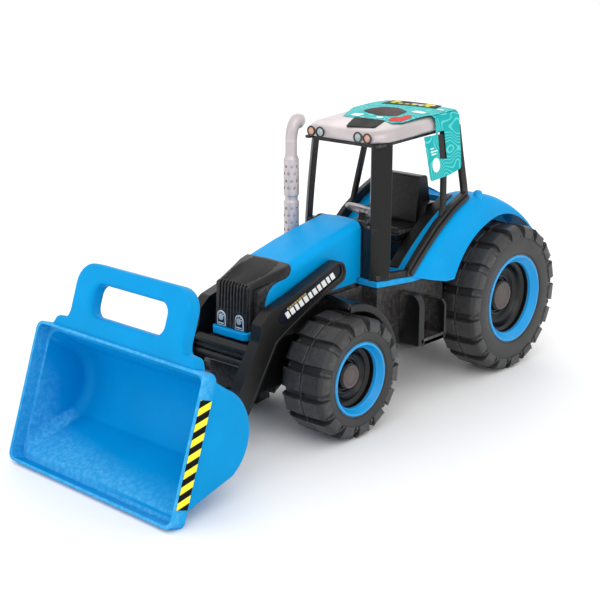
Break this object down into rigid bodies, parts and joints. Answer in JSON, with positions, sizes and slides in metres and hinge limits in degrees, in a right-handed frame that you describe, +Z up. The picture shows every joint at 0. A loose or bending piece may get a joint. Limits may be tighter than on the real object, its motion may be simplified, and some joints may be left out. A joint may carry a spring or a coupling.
{
  "type": "toy front loader tractor",
  "caption": "Hand-pushed moulded toy tractor with a front loader bucket on two arms, carrying handle, open cab, exhaust stack and free-rolling lugged wheels.",
  "frame": {"origin": "on the ground under the middle of the toy's overall box", "axes": "+X forward towards the bucket, +Y to the left of the tractor, +Z up"},
  "size_m": [0.5455, 0.1992, 0.2619],
  "materials": {
    "black_hub": "moulded, semi gloss",
    "black_pin": "moulded, semi gloss",
    "black_plastic": "moulded, semi gloss",
    "blue_body": "moulded, satin gloss",
    "blue_bucket": "moulded, satin",
    "blue_rim": "moulded, satin gloss",
    "card_print": "printed card, satin",
    "hazard_print": "printed foil, glossy",
    "headlight_print": "printed foil, glossy",
    "hub_cap": "moulded, matt",
    "label_print": "printed foil, glossy",
    "lamp_amber": "printed foil, glossy",
    "lamp_clear": "printed foil, glossy",
    "silver_plastic": "silver pigment, satin",
    "steel": "plain",
    "tyre": "moulded, matt"
  },
  "bodies": {
    "tractor": {"body_screws": "steel", "cab_dash": "black_plastic", "cab_floor": "blue_body", "cab_rails": "black_plastic", "cab_side_left": "black_plastic", "cab_side_right": "black_plastic", "chassis_front": "black_plastic", "chassis_middle": "black_plastic", "chassis_rear": "black_plastic", "exhaust_stack": "silver_plastic", "exhaust_tip": "silver_plastic", "fender_left": "blue_body", "fender_right": "blue_body", "front_axle": "steel", "front_push_nuts": "steel", "guard_left": "black_plastic", "guard_right": "black_plastic", "hang_tag": "card_print", "headlights": "headlight_print", "hood": "blue_body", "lift_pin": "black_pin", "nose_cowl": "black_plastic", "nose_ledge": "blue_body", "rear_axle": "steel", "rear_push_nuts": "steel", "roof": "silver_plastic", "roof_lamps_amber": "lamp_amber", "roof_lamps_clear": "lamp_clear", "roof_sticker": "card_print", "seat": "black_plastic", "steering_column": "black_plastic", "step_left": "black_plastic", "step_right": "black_plastic", "tow_hitch": "black_plastic"},
    "loader_arms": {"arm_left": "black_plastic", "arm_right": "black_plastic", "arm_crossbar": "black_plastic", "arm_labels": "label_print", "bucket_pins": "black_pin"},
    "bucket": {"bucket": "blue_bucket", "bucket_handle": "blue_bucket", "bucket_lugs": "blue_bucket", "hazard_strips": "hazard_print"},
    "steering_wheel": {"steering_wheel": "silver_plastic"},
    "wheel_front_left": {"tyre_front_left": "tyre", "rim_front_left": "blue_rim", "hub_front_left": "black_hub", "cap_front_left": "hub_cap"},
    "wheel_front_right": {"tyre_front_right": "tyre", "rim_front_right": "blue_rim", "hub_front_right": "black_hub", "cap_front_right": "hub_cap"},
    "wheel_rear_left": {"tyre_rear_left": "tyre", "rim_rear_left": "blue_rim", "hub_rear_left": "black_hub", "cap_rear_left": "hub_cap"},
    "wheel_rear_right": {"tyre_rear_right": "tyre", "rim_rear_right": "blue_rim", "hub_rear_right": "black_hub", "cap_rear_right": "hub_cap"}
  },
  "joints": [
    {"name": "front_left_spin", "type": "hinge", "parent": "tractor", "child": "wheel_front_left", "pos_m": [0.039, 0.06, 0.0533], "axis": [0, 1, 0], "continuous": true},
    {"name": "front_right_spin", "type": "hinge", "parent": "tractor", "child": "wheel_front_right", "pos_m": [0.039, -0.06, 0.0533], "axis": [0, 1, 0], "continuous": true},
    {"name": "rear_left_spin", "type": "hinge", "parent": "tractor", "child": "wheel_rear_left", "pos_m": [-0.201, 0.06, 0.072], "axis": [0, 1, 0], "continuous": true},
    {"name": "rear_right_spin", "type": "hinge", "parent": "tractor", "child": "wheel_rear_right", "pos_m": [-0.201, -0.06, 0.072], "axis": [0, 1, 0], "continuous": true},
    {"name": "arm_lift", "type": "hinge", "parent": "tractor", "child": "loader_arms", "pos_m": [0.022, 0, 0.1375], "axis": [0, -1, 0], "range_deg": [0, 50]},
    {"name": "bucket_tilt", "type": "hinge", "parent": "loader_arms", "child": "bucket", "pos_m": [0.159, 0, 0.031], "axis": [0, 1, 0], "range_deg": [-25, 55]},
    {"name": "steering_turn", "type": "hinge", "parent": "tractor", "child": "steering_wheel", "pos_m": [-0.061, 0, 0.171], "axis": [-0.4695, 0, 0.8829], "continuous": true}
  ]
}
